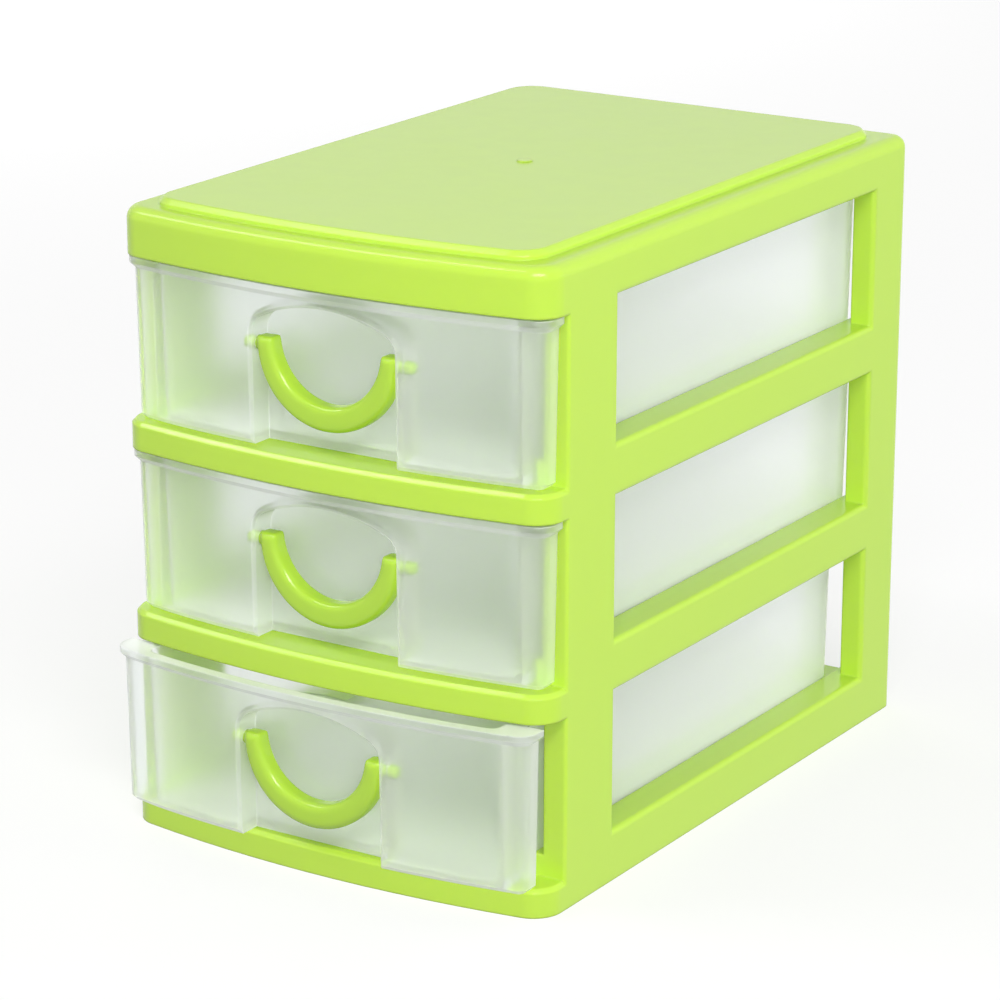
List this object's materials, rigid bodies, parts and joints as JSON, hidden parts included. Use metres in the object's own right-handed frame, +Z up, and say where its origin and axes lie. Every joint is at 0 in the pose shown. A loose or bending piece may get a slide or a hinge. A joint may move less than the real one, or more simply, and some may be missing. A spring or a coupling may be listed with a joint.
{
  "type": "desktop drawer tower",
  "caption": "Small tabletop storage tower: one-piece moulded cabinet with side windows and a bowed front, sliding translucent drawers and a free-swinging U handle on each drawer.",
  "frame": {"origin": "on the table, below the middle of the box that the tower fills at rest", "axes": "+X to the right seen from the front, +Y from the front to the back, +Z up"},
  "size_m": [0.135, 0.211, 0.1768],
  "materials": {
    "cabinet_plastic": "satin moulded polypropylene, lime green",
    "drawer_plastic": "translucent natural polypropylene, satin",
    "handle_plastic": "glossy moulded plastic, lime green"
  },
  "bodies": {
    "cabinet": {"cabinet": "cabinet_plastic"},
    "drawer_bottom": {"drawer_bottom": "drawer_plastic"},
    "handle_bottom": {"handle_bottom": "handle_plastic"},
    "drawer_middle": {"drawer_middle": "drawer_plastic"},
    "handle_middle": {"handle_middle": "handle_plastic"},
    "drawer_top": {"drawer_top": "drawer_plastic"},
    "handle_top": {"handle_top": "handle_plastic"}
  },
  "joints": [
    {"name": "drawer_bottom_slide", "type": "slide", "parent": "cabinet", "child": "drawer_bottom", "axis": [0, -1, 0], "range_m": [-0.0086, 0.1164]},
    {"name": "handle_bottom_swing", "type": "hinge", "parent": "drawer_bottom", "child": "handle_bottom", "pos_m": [0, -0.0988, 0.0354], "axis": [-1, 0, 0], "range_deg": [0, 90]},
    {"name": "drawer_middle_slide", "type": "slide", "parent": "cabinet", "child": "drawer_middle", "axis": [0, -1, 0], "range_m": [0, 0.125]},
    {"name": "handle_middle_swing", "type": "hinge", "parent": "drawer_middle", "child": "handle_middle", "pos_m": [0, -0.0902, 0.089], "axis": [-1, 0, 0], "range_deg": [0, 90]},
    {"name": "drawer_top_slide", "type": "slide", "parent": "cabinet", "child": "drawer_top", "axis": [0, -1, 0], "range_m": [0, 0.125]},
    {"name": "handle_top_swing", "type": "hinge", "parent": "drawer_top", "child": "handle_top", "pos_m": [0, -0.0902, 0.1426], "axis": [-1, 0, 0], "range_deg": [0, 90]}
  ]
}
